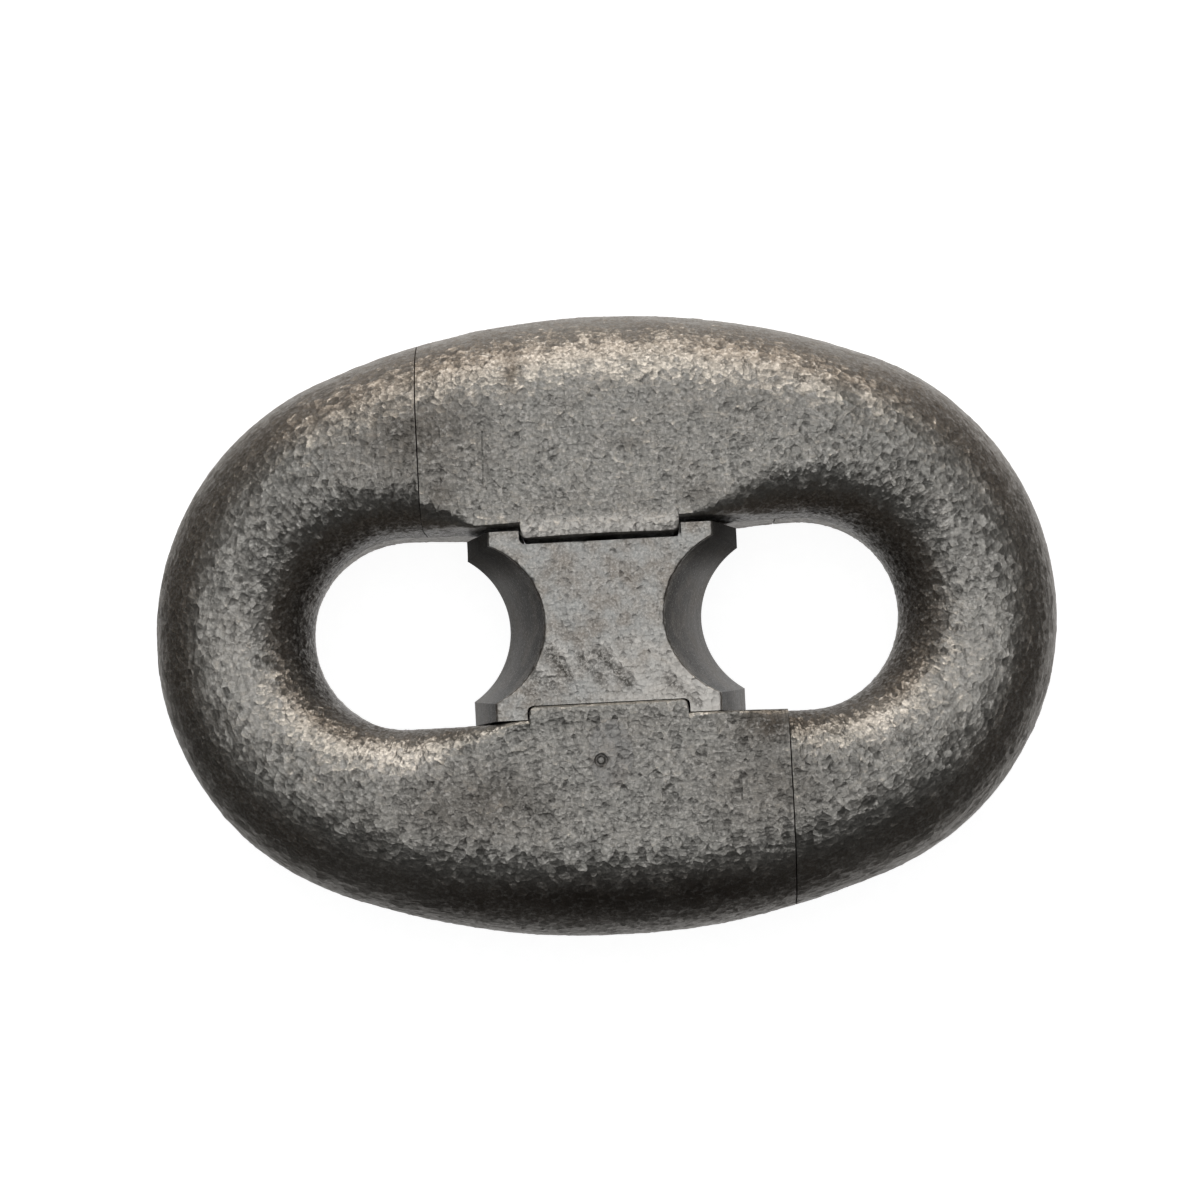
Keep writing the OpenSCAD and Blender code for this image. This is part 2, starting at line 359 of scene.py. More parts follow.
def skin_flakes(points, finish):
    """The hammered flakes at each point of the ring, drawn out along it, whole flakes to the round, on
    places pushed about by soft noise."""
    push = np.stack([swell(points, 5 * MM, 71 + k) for k in range(3)], axis=1)
    places, total = along_bar(points)
    count = round(total / finish.flake_draw / finish.flake_pitch)
    places[:, 0] *= count * finish.flake_pitch / total
    return flakes(places + 0.8 * MM * push, finish.flake_pitch, 11, count)


def hammered(points, finish):
    """Depth of the forged skin below its true form: tilted shallow flakes that meet along ridges, a
    finer layer of round dents, and long swells. All of it lies at or below zero."""
    near, slope = skin_flakes(points, finish)
    fine, tilt = flakes(points, finish.flake_pitch * 0.5, 23)
    patch = 0.7 + 0.3 * swell(points, 9 * MM, 31)
    roll = 0.65 * swell(points, finish.swell_pitch, 41) + 0.35 * swell(points, finish.swell_pitch * 0.4, 43)
    flake = np.clip(near, 0, 1) ** 2 - 1 + 1.3 * slope
    grain = np.clip(fine, 0, 1) ** 2 - 1 + 1.0 * tilt
    depth = finish.flake_depth * (patch * flake + 0.4 * grain) + finish.swell_depth * (0.5 * roll - 0.5)
    return np.minimum(depth, 0)


def scratched(points, scratches):
    """Depth of straight scratches seen from the front: each sinks with the bell curve of the distance
    from its line, by its own depth and half width."""
    depth = np.zeros(len(points))
    for x0, y0, x1, y1, deep, half in scratches:
        start, run = np.array([x0, y0]) * MM, np.array([x1 - x0, y1 - y0]) * MM
        away = points[:, :2] - start
        share = np.clip(away @ run / (run @ run), 0, 1)
        gap = np.linalg.norm(away - share[:, None] * run, axis=1)
        depth -= deep * MM * np.exp(-((gap / (half * MM)) ** 2))
    return depth


# Meshes and cuts


def grid_faces(rows, columns, close_rows, close_columns):
    """Four-sided faces of a grid of points, wrapped round in either direction."""
    r = np.arange(rows if close_rows else rows - 1)[:, None]
    c = np.arange(columns if close_columns else columns - 1)[None, :]
    r2, c2 = (r + 1) % rows, (c + 1) % columns
    corners = [r * columns + c, r2 * columns + c, r2 * columns + c2, r * columns + c2]
    return np.stack(corners, axis=-1).reshape(-1, 4)


def grid_normals(points, close_rows, close_columns):
    """Unit normals of a grid: the cross product of the steps along its two directions."""

    def along(axis, closed):
        if closed:
            return np.roll(points, -1, axis) - np.roll(points, 1, axis)
        return np.gradient(points, axis=axis)

    n = np.cross(along(0, close_rows), along(1, close_columns))
    return n / np.maximum(np.linalg.norm(n, axis=-1, keepdims=True), 1e-12)


def new_piece(name, points, faces, caps=()):
    """A mesh object at the origin from points, four-sided faces and any many-sided caps."""
    mesh = bpy.data.meshes.new(name)
    points = np.asarray(points, float).reshape(-1, 3)
    faces = np.asarray(faces)
    loops = np.concatenate([faces.ravel(), *caps]).astype(np.int32)
    sizes = np.concatenate([np.full(len(faces), faces.shape[1]), [len(c) for c in caps]]).astype(np.int64)
    starts = np.concatenate([[0], np.cumsum(sizes)[:-1]]).astype(np.int32)
    mesh.vertices.add(len(points))
    mesh.vertices.foreach_set("co", points.astype(np.float32).ravel())
    mesh.loops.add(len(loops))
    mesh.loops.foreach_set("vertex_index", loops)
    mesh.polygons.add(len(sizes))
    mesh.polygons.foreach_set("loop_start", starts)
    mesh.update(calc_edges=True)
    if mesh.validate():
        raise RuntimeError(f"{name} has faces that Blender had to mend")
    piece = bpy.data.objects.new(name, mesh)
    bpy.context.scene.collection.objects.link(piece)
    return piece


def block(name, low, high):
    """A plain box between two corners, used as a cutter."""
    (x0, y0, z0), (x1, y1, z1) = low, high
    return prism(name, np.array([[x0, z0], [x1, z0], [x1, z1], [x0, z1]]), y0, y1)


def prism(name, outline, y_low, y_high):
    """An outline of X and Z pairs carried along Y, used as a cutter."""
    n = len(outline)
    ring = np.stack([outline[:, 0], np.zeros(n), outline[:, 1]], axis=1)
    points = np.stack([ring + [0, y_low, 0], ring + [0, y_high, 0]])
    return closed_grid(name, points)


def closed_grid(name, points):
    """A closed solid from a grid whose rows wrap round, with a flat cap on its first and last row."""
    rows, columns = points.shape[:2]
    faces = grid_faces(rows, columns, False, True)
    first = np.arange(columns)
    last = first + (rows - 1) * columns
    piece = new_piece(name, points, faces, [first, last[::-1]])
    face_outward(piece)
    return piece


def face_outward(piece):
    """Turns a closed mesh over if its faces enclose a negative volume."""
    mesh = piece.data
    mesh.calc_loop_triangles()
    corners = np.zeros(len(mesh.loop_triangles) * 3, np.int32)
    mesh.loop_triangles.foreach_get("vertices", corners)
    co = points_of(piece)[corners.reshape(-1, 3)]
    if np.einsum("ij,ij->", np.cross(co[:, 0], co[:, 1]), co[:, 2]) < 0:
        mesh.flip_normals()


def points_of(piece):
    """The piece's vertices as an array."""
    co = np.zeros(len(piece.data.vertices) * 3, np.float32)
    piece.data.vertices.foreach_get("co", co)
    return co.reshape(-1, 3).astype(float)


def carve(piece, tool, operation="DIFFERENCE"):
    """Cuts, joins or meets a piece with a closed tool, and removes the tool."""
    cut = piece.modifiers.new("cut", "BOOLEAN")
    cut.object, cut.operation, cut.solver = tool, operation, "MANIFOLD"
    graph = bpy.context.evaluated_depsgraph_get()
    made = bpy.data.meshes.new_from_object(piece.evaluated_get(graph))
    piece.modifiers.clear()
    old, piece.data = piece.data, made
    made.name = piece.name
    bpy.data.meshes.remove(old)
    remove(tool)
    if len(made.polygons) == 0:
        raise RuntimeError(f"{piece.name} was cut away by {operation}")


def remove(piece):
    """Deletes an object and its mesh."""
    mesh = piece.data
    bpy.data.objects.remove(piece)
    bpy.data.meshes.remove(mesh)


def copy_of(piece, name):
    """A copy with a mesh of its own."""
    twin = bpy.data.objects.new(name, piece.data.copy())
    bpy.context.scene.collection.objects.link(twin)
    return twin


def turned(piece):
    """The piece turned half a turn about the middle of the link."""
    piece.data.transform(Matrix.Rotation(math.pi, 4, "Z"))
    return piece


def finish_piece(piece, node, material, sharp=math.radians(42)):
    """Shades a piece smooth between its sharp edges, gives it its material and puts it in its node's
    place."""
    mesh = piece.data
    mesh.materials.clear()
    mesh.materials.append(material)
    mesh.shade_smooth()
    mesh.set_sharp_from_angle(angle=sharp)
    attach(piece, BODY)
    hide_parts(node)


def mark_points(piece, name, values):
    """Keeps one number, or one place, per vertex under a name that the material reads."""
    values = np.asarray(values, np.float32)
    kind, field = ("FLOAT", "value") if values.ndim == 1 else ("FLOAT_VECTOR", "vector")
    piece.data.attributes.new(name, kind, "POINT").data.foreach_set(field, values.ravel())


# The forged ring


def bar_stations(link, around, left):
    """Stations round one half's ring, anticlockwise from the lower end of the right crown. Each has its
    point on the inner wall, its direction outward, the width of the bar, how far it has gone from crown
    to leg and how far from the square seat to the rounded opening. The outline is four tangent arcs, and
    a crown's width is the distance to them from the centre of its opening. Far from the half's own crown
    lie the tips of its laps: the front one has a rounding of its own, and the back one runs flush into
    the other crown."""
    half_width = link.full_width / 2
    crown_x = link.full_length / 2 - link.crown_radius
    squares = crown_x**2 + half_width**2 - link.crown_radius**2
    leg_radius = squares / (2 * (half_width - link.crown_radius))
    leg_centre = half_width - leg_radius
    tangent_x = crown_x + link.crown_radius * crown_x / (leg_radius - link.crown_radius)

    a = np.linspace(-math.pi / 2, math.pi / 2, around + 1)
    o = link.opening_offset - crown_x
    b = link.opening_offset * np.cos(a) - leg_centre * np.abs(np.sin(a))
    to_crown = np.sqrt(link.crown_radius**2 - (o * np.sin(a)) ** 2) - o * np.cos(a)
    to_leg = np.sqrt(b**2 - link.opening_offset**2 - leg_centre**2 + leg_radius**2) - b
    reach = np.where(link.opening_offset + to_crown * np.cos(a) >= tangent_x, to_crown, to_leg)
    u = np.stack([np.cos(a), np.sin(a)], axis=1)
    crown = {
        "inner": link.opening_radius * u + [link.opening_offset, 0],
        "out": u,
        "width": reach - link.opening_radius,
        "leg": np.sin(a) ** 2,
        "open": np.ones(len(a)),
    }

    tip_round = link.left_tip_round if left else link.right_tip_round
    front = (tip_round - link.seat_edge) / (link.inner_round - link.seat_edge)

    def root(x):
        return ramp(x, link.seat_half, link.opening_offset - link.seat_half)

    def opened(x, tip):
        return root(x) + tip * ramp(-x, link.tip_start, link.seam_offset - link.tip_start)

    x = leg_places(link, around)
    own = -x if left else x
    tips = (front, root(link.seam_offset))
    upper_tip, lower_tip = tips[::-1] if left else tips
    flat = np.zeros(len(x))
    leg = {
        "inner": np.stack([x, flat + link.opening_radius], axis=1),
        "out": np.stack([flat, flat + 1], axis=1),
        "width": leg_centre + np.sqrt(leg_radius**2 - x**2) - link.opening_radius,
        "leg": flat + 1,
        "open": opened(own, upper_tip),
    }
    upper = {k: np.concatenate([crown[k], leg[k]]) for k in crown}
    lower = {**upper, "inner": -upper["inner"], "out": -upper["out"]}
    lower["open"] = np.concatenate([crown["open"], opened(-own, lower_tip)])
    return {k: np.concatenate([upper[k], lower[k]]) for k in upper}


def leg_places(link, around):
    """Places along a leg from the right crown to the left, close together at the corners of the
    tongue."""
    step = 2.2 * link.opening_radius * math.pi / around
    edge = link.tongue_width / 2
    middle = np.linspace(0, edge - link.tongue_corner, round((edge - link.tongue_corner) / step))
    corner = edge - link.tongue_corner * (1 - np.sin(np.radians([25, 45, 65, 90])))
    count = round((link.opening_offset - edge) / step)
    rest = np.linspace(edge + 0.6 * step, link.opening_offset, count)[:-1]
    right = np.concatenate([middle[1:], corner, [edge + 0.1 * MM], rest])
    return np.concatenate([right[::-1], [0], -right])


def bar_sections(link, stations, across):
    """The bar's section at every station, as distance from the inner wall and height: quarter ellipses
    on the outer and inner sides with a flat between them, mirrored to the back and spaced evenly along
    its length."""
    t = (link.crown_depth + (link.leg_depth - link.crown_depth) * stations["leg"]) / 2
    full = (stations["width"] - link.trim_land) / 2
    outer = full + (link.outer_round - full) * stations["leg"]
    inner = full + (link.inner_round - full) * stations["leg"]
    inner = link.seat_edge + (inner - link.seat_edge) * stations["open"]
    rise = t - link.trim_land / 2
    fall = rise + (link.inner_fall - rise) * stations["leg"]
    fall = link.seat_edge + (fall - link.seat_edge) * stations["open"]
    up = np.linspace(0, math.pi / 2, 48)[None, :]
    columns = (stations["width"], t, outer, inner, rise, fall)
    w, t, outer, inner, rise, fall = (column[:, None] for column in columns)
    start = np.stack([w, 0 * w], axis=-1)
    outside = np.stack([w - outer * (1 - np.cos(up)), link.trim_land / 2 + rise * np.sin(up)], axis=-1)
    inside = np.stack([inner * (1 - np.sin(up)), t - fall * (1 - np.cos(up))], axis=-1)
    front = np.concatenate([start, outside, inside], axis=1)
    loop = np.concatenate([front, front[:, ::-1] * [1, -1]], axis=1)
    run = np.cumsum(np.linalg.norm(np.diff(loop, axis=1), axis=-1), axis=1)
    run = np.concatenate([0 * w, run], axis=1)
    share = np.linspace(0, 1, across, endpoint=False)
    return np.array([
        np.stack([np.interp(share * r[-1], r, p[:, 0]), np.interp(share * r[-1], r, p[:, 1])], axis=-1)
        for r, p in zip(run, loop)
    ])


def forged_ring(link, finish, left):
    """One half's ring before it is parted: the section carried round the stations, with the tongues
    drawn out of the inner walls and every point sunk along its normal by the hammered depth."""
    stations = bar_stations(link, finish.around, left)
    section = bar_sections(link, stations, finish.across)
    centre_z = link.leg_depth / 2

    def placed(distance):
        flat = stations["inner"][:, None] + stations["out"][:, None] * distance[..., None]
        return np.concatenate([flat, section[..., 1:] + centre_z], axis=-1)

    plain = placed(section[..., 0])
    normal = grid_normals(plain, True, True)
    x = np.abs(stations["inner"][:, 0])
    corner = link.tongue_width / 2 - link.tongue_corner
    past = np.clip(x - corner, 0, None)
    drop = link.tongue_corner - np.sqrt(np.clip(link.tongue_corner**2 - past**2, 0, None))
    tongue = np.where(x <= link.tongue_width / 2 + 1e-7, link.tongue_height - drop, 0)
    blend = np.clip(1 - section[..., 0] / (3.5 * MM), 0, 1)
    points = placed(section[..., 0] - tongue[:, None] * blend)
    depth = hammered(points.reshape(-1, 3), finish).reshape(points.shape[:2])
    seat = (1 - ease(4 * stations["open"]))[:, None] * (1 - ramp(section[..., 0], 0.6 * MM, 2 * MM))
    depth *= 1 - 0.9 * seat
    points = points + normal * depth[..., None]
    ring = new_piece("ring", points, grid_faces(*points.shape[:2], True, True))
    face_outward(ring)
    return ring


def left_zone(link):
    """Cutters that take the left half away from the ring: its crown side and its lap on each leg."""
    far, g, a = link.full_length, link.seam_gap / 2, link.seam_offset
    z = link.leg_depth / 2
    yield block("crown side", (-far, -far, -far), (-a + g, far, far))
    yield block("upper back lap", (-far, 0, -far), (a + g, far, z + g))
    yield block("lower front lap", (-far, -far, z - g), (a + g, 0, far))


def dovetail(link, gap, lead):
    """The key along Y under the upper leg's front lap, grown by a gap and longer at its inner end by a
    lead."""
    neck = link.key_width / 2 + gap
    foot = neck + link.key_flare
    z = link.leg_depth / 2
    low, top = z - link.key_height - gap, z + 3 * MM
    start = link.opening_radius - link.tongue_height
    outline = np.array([[-neck, top], [-neck, z], [-foot, low], [foot, low], [neck, z], [neck, top]])
    return prism("dovetail", outline, start - lead, start + link.key_length + gap)


def round_tool(name, radii, places, around=96):
    """A solid of revolution about Z: a radius at each height, with flat ends."""
    a = np.linspace(0, 2 * math.pi, around, endpoint=False)
    points = np.stack([
        np.outer(radii, np.cos(a)),
        np.outer(radii, np.sin(a)),
        np.repeat(np.asarray(places, float)[:, None], around, axis=1),
    ], axis=-1)
    return closed_grid(name, points)


def on_pin(piece, link, pin):
    """Lays a piece made about Z along the pin, through the middle of the link, large end to the lower
    front."""
    middle = Matrix.Translation((0, 0, link.leg_depth / 2))
    piece.data.transform(middle @ Matrix.Rotation(pin.angle, 4, "X"))
    return piece


def pin_places(link, pin):
    """Distances along the pin from the middle of the link to its head, its tail and the front face."""
    face = link.leg_depth / 2 / math.cos(pin.angle)
    return face - pin.plug_length, face - pin.inset, face


def pin_bore(link, pin):
    """Bore for the taper pin, running out through the back of the upper leg."""
    head, tail, face = pin_places(link, pin)
    small, large = pin.small_d / 2 + pin.gap, pin.large_d / 2 + pin.gap
    bore = round_tool("pin bore", [small, small, large], [-2 * face, -tail, head + 0.05 * MM])
    return on_pin(bore, link, pin)


def plug_cone(link, pin, gap):
    """Cone of the plug, narrower at its mouth and carried on past the face."""
    head, _, _ = pin_places(link, pin)
    run = pin.plug_length + pin.plug_bottom_d
    top = pin.plug_bottom_d - (pin.plug_bottom_d - pin.plug_mouth_d) / pin.plug_length * run
    cone = round_tool("plug cone", [pin.plug_bottom_d / 2 + gap, top / 2 + gap], [head - gap, head + run])
    return on_pin(cone, link, pin)


def scribe(link, place):
    """A thin blade that scribes a short line across a leg's front face."""
    x, y_low, y_high, lean = place
    wide, deep = 0.24, 1.2
    blade = block("scribe", np.array([-wide, y_low, -deep]) * MM, np.array([wide, y_high, 1]) * MM)
    middle = Vector((0, (y_low + y_high) / 2 * MM, 0))
    turn = Matrix.Translation(middle) @ Matrix.Rotation(lean, 4, "Z") @ Matrix.Translation(-middle)
    blade.data.transform(Matrix.Translation((x * MM, 0, link.leg_depth)) @ turn)
    return blade


def spots(points, rows, level):
    """The strongest of the oval spots over each point above a level, each eased from its strength at the
    middle to nothing at its rim."""
    share = np.zeros(len(points))
    for x, y, wide, high, strength in rows:
        away = np.hypot((points[:, 0] / MM - x) / wide, (points[:, 1] / MM - y) / high)
        share = np.maximum(share, strength * (1 - ease(away)))
    return np.where(points[:, 2] > level, share, 0)


def wear_marks(piece, link, finish):
    """Numbers for the forged finish at each vertex: how deep in a flake it lies, how far it belongs to the
    flat faces, to the tops of the crowns, to the inner sides with painted shade and to the rims with a
    painted reflection of the floor, how far it is rubbed pale and painted with highlights, how far it is
    stained and painted with shade, and its place along the bar."""
    co = points_of(piece)
    near, _ = skin_flakes(co, finish)
    mark_points(piece, "pit", np.clip(1 - near / 0.55, 0, 1))
    beyond = np.clip(np.abs(co[:, 0]) - link.opening_offset, 0, None)
    leg = np.sin(np.arctan2(np.abs(co[:, 1]), beyond)) ** 2
    deep = (link.crown_depth + (link.leg_depth - link.crown_depth) * leg) / 2
    height = np.abs(co[:, 2] - link.leg_depth / 2) / deep
    grain, total = along_bar(co)
    inner = 1 - ramp(grain[:, 1], 32 * MM, 12 * MM)
    front = ramp(co[:, 2] - link.leg_depth / 2, -1 * MM, 2 * MM)
    low = 1 - ramp(height, 0.35, 0.4)
    flat = ramp(height, 0.8, 0.16)
    mark_points(piece, "flat", flat)
    mark_points(piece, "crown", flat * (1 - leg))
    upper = ramp(co[:, 1], -15 * MM, 30 * MM)
    # Painted shade on the inner sides of the openings, stronger towards the upper leg and the left crown
    shaded = 0.35 + 0.65 * ramp(co[:, 1] + 0.3 * np.clip(-co[:, 0], 0, None), -15 * MM, 30 * MM)
    mark_points(piece, "side", (1 - ramp(height, 0.55, 0.4)) * inner * front * shaded)
    # Painted reflection of the floor: the outer rims and the back of the inner walls turn pale, less so on
    # the upper leg
    mark_points(piece, "rim", low * np.maximum(1 - inner, inner * (1 - front)) * (1 - 0.4 * upper))
    seat = 1 - ramp(np.abs(co[:, 1]), link.opening_radius, 2.5 * MM)
    on_seat = 1 - ramp(np.abs(co[:, 0]), link.seat_half, 2 * MM)
    # The upper seat edge is rubbed pale; the spots add a rubbed scratch, a pale patch and painted
    # highlights
    worn = seat * on_seat * ramp(height, 0.9, 0.06) * ramp(co[:, 1], 0, MM)
    mark_points(piece, "worn", np.maximum(worn, spots(co, RUBS_AND_HIGHLIGHTS, link.leg_depth / 2)))
    # Stains, and painted shade along the lower leg's outer rim
    mark_points(piece, "stain", spots(co, STAINS_AND_SHADE, link.leg_depth / 2))
    if co[:, 0].mean() < 0:
        grain[:, 0] += np.where(grain[:, 0] < 90 * MM, total, 0)
    mark_points(piece, "grain", grain)


# Materials


class Nodes:
    """Builds one material's node tree, laid out in columns."""

    def __init__(self, name):
        self.material = bpy.data.materials.new(name)
        self.material.use_nodes = True
        self.tree = self.material.node_tree
        self.shader = self.tree.nodes["Principled BSDF"]
        self.column = 0

    def add(self, kind, inputs=(), **settings):
        """Adds a node, sets its properties and gives its sockets values or links."""
        node = self.tree.nodes.new("ShaderNode" + kind)
        node.location = (-200 * (12 - self.column % 12), -260 * (self.column // 12))
        self.column += 1
        for key, value in settings.items():
            setattr(node, key, value)
        for socket, value in dict(inputs).items():
            self.put(node.inputs[socket], value)
        return node

    def put(self, socket, value):
        """Links an output to a socket, or sets the socket's value."""
        if isinstance(value, bpy.types.NodeSocket):
            self.tree.links.new(value, socket)
        elif hasattr(value, "__len__"):
            socket.default_value = (*value, 1)[: len(socket.default_value)]
        else:
            socket.default_value = value

    def place(self):
        """Object coordinates."""
        return self.add("TexCoord").outputs["Object"]

    def number(self, name):
        """A number kept at the piece's vertices."""
        return self.add("Attribute", attribute_name=name).outputs["Fac"]

    def grain(self, draw):
        """Places along the bar, drawn out along it."""
        place = self.add("Attribute", attribute_name="grain").outputs["Vector"]
        return self.add("Mapping", {"Vector": place, "Scale": (1 / draw, 1, 1)}).outputs["Vector"]

    def stirred(self, place, pitch, reach):
        """Places pushed about by soft noise."""
        noise = self.add("TexNoise", {"Vector": place, "Scale": 1 / pitch, "Detail": 2.0}).outputs["Color"]
        push = self.vector("SUBTRACT", noise, (0.5, 0.5, 0.5))
        return self.vector("MULTIPLY_ADD", push, (reach, reach, reach), place)

    def noise(self, pitch, detail, roughness=0.55, place=None):
        """Noise whose features are about a pitch wide, in metres."""
        place = place or self.place()
        inputs = {"Vector": place, "Scale": 1 / pitch, "Detail": detail, "Roughness": roughness}
        return self.add("TexNoise", inputs).outputs["Fac"]

    def chips(self, place, pitch):
        """Height of small chips a pitch wide, each a shallow bowl with a slope of its own, in pitches."""
        cell = self.add("TexVoronoi", {"Vector": place, "Scale": 1 / pitch})
        away = self.vector("SUBTRACT", place, cell.outputs["Position"])
        lean = self.vector("SUBTRACT", cell.outputs["Color"], (0.5, 0.5, 0.5))
        slope = self.add("VectorMath", {0: away, 1: lean}, operation="DOT_PRODUCT").outputs["Value"]
        bowl = self.maths("MULTIPLY", self.maths("POWER", cell.outputs["Distance"], 2.0), 0.45)
        return self.maths("MULTIPLY_ADD", slope, 1.25 / pitch, bowl)

    def ridges(self, place, pitch):
        """Thin broken ridges along the edges between scattered cells, 1 on the crest and 0 beside it."""
        cell = self.add("TexVoronoi", {"Vector": place, "Scale": 1 / pitch}, feature="DISTANCE_TO_EDGE")
        crest = self.span(cell.outputs["Distance"], 0.26, 0.0)
        return self.maths("MULTIPLY", crest, self.span(self.noise(1.3 * pitch, 2, 0.5), 0.4, 0.62))

    def vector(self, operation, *vectors):
        """One sum on two or three vectors."""
        return self.add("VectorMath", dict(enumerate(vectors)), operation=operation).outputs["Vector"]

    def span(self, value, low, high, to_low=0.0, to_high=1.0):
        """Spreads a range of a value over another range, eased and held at the ends."""
        return self.add(
            "MapRange",
            {"Value": value, "From Min": low, "From Max": high, "To Min": to_low, "To Max": to_high},
            interpolation_type="SMOOTHSTEP",
        ).outputs["Result"]

    def maths(self, operation, *numbers):
        """One sum on two or three numbers."""
        return self.add("Math", dict(enumerate(numbers)), operation=operation).outputs[0]

    def blend(self, share, a, b):
        """Colour a turning into colour b."""
        node = self.add("Mix", data_type="RGBA")
        self.put(node.inputs["Factor"], share)
        self.put(node.inputs[6], a)
        self.put(node.inputs[7], b)
        return node.outputs[2]

    def tint(self, base, colour, value, spread, mark=None):
        """A base turning into a colour as a value runs through a spread: from low to high, by a share
        from one end to the other. A mark, if given, holds the share back."""
        share = self.span(value, *spread)
        if mark is not None:
            share = self.maths("MULTIPLY", mark, share)
        return self.blend(share, base, colour)

    def relief(self, *layers):
        """Bumps of several heights added up, each with its depth in millimetres."""
        height = 0.0
        for layer, deep in layers:
            height = self.maths("MULTIPLY_ADD", layer, deep, height)
        return self.add("Bump", {"Height": height, "Distance": MM}).outputs["Normal"]

    def shade(self, **sockets):
        """Sets the shader's own sockets, named with underscores for spaces."""
        for name, value in sockets.items():
            self.put(self.shader.inputs[name.replace("_", " ")], value)
        return self.material


def hammer_scales(m):
    """Places of the broad hammered scales, a little drawn out along the bar."""
    return m.stirred(m.grain(1.05), 2.2 * MM, 1.1 * MM)


def hammered_normal(m, scales):
    """Bumps of the leaning scales, of smaller chips and of a fine grain."""
    return m.relief(
        (m.chips(scales, SCALE_PITCH), 0.48),
        (m.chips(scales, 0.9 * MM), 0.176),
        (m.noise(0.4 * MM, 5, 0.65), 0.06),
    )


def forged_steel(finish):
    """Hammered forging: bare grey flats, brown scale on the rounded bar, painted shade on the inner sides,
    a painted reflection of the floor on the rims, stains and painted shade along the lower rim, dirt in the
    pits, rubbed ridges, and rubbed marks and painted highlights."""
    m = Nodes("forged_steel")
    scales = hammer_scales(m)
    mottle = m.noise(11 * MM, 4)
    patch = m.noise(32 * MM, 3)
    speck = m.noise(0.9 * MM, 4, 0.65)
    streak = m.noise(3 * MM, 4, 0.6, m.grain(3))
    ridges = m.ridges(scales, SCALE_PITCH)
    flat = m.maths("MULTIPLY", m.number("flat"), m.span(mottle, 0.25, 0.6, 0.7, 1))
    base = m.blend(flat, finish.scale_brown, finish.flat_grey)
    base = m.tint(base, finish.flat_grey, patch, (0.42, 0.68, 0, 0.3))
    base = m.tint(base, finish.pale_and_highlight, streak, (0.3, 0.6, 0.05, 0.3), m.number("crown"))
    # Painted reflection of the floor on the rims
    base = m.tint(base, finish.pale_and_highlight, streak, (0.35, 0.65, 0.4, 0.9), m.number("rim"))
    # Painted shade on the inner sides
    base = m.tint(base, finish.side_shade_dark, streak, (0.35, 0.65, 0.9, 0.6), m.number("side"))
    base = m.tint(base, finish.pale_and_highlight, speck, (0.42, 0.72, 0, 0.5))
    # Stains, and painted shade along the lower rim
    base = m.tint(base, finish.stain_and_shade_brown, mottle, (0.3, 0.6, 0.4, 1), m.number("stain"))
    base = m.tint(base, finish.pit_dark, mottle, (0.3, 0.7, 0.05, 0.3), m.number("pit"))
    # Rubbed pale marks, and painted highlights
    base = m.tint(base, finish.pale_and_highlight, speck, (0.3, 0.6, 0.3, 0.8), m.number("worn"))
    base = m.tint(base, finish.pale_and_highlight, speck, (0.4, 0.65, 0.05, 0.5), ridges)
    base = m.tint(base, finish.pit_dark, streak, (0.62, 0.8, 0, 0.4))
    rough = m.span(speck, 0.3, 0.75, 0.5, 0.33)
    return m.shade(Base_Color=base, Metallic=METALLIC, Roughness=rough, Normal=hammered_normal(m, scales))


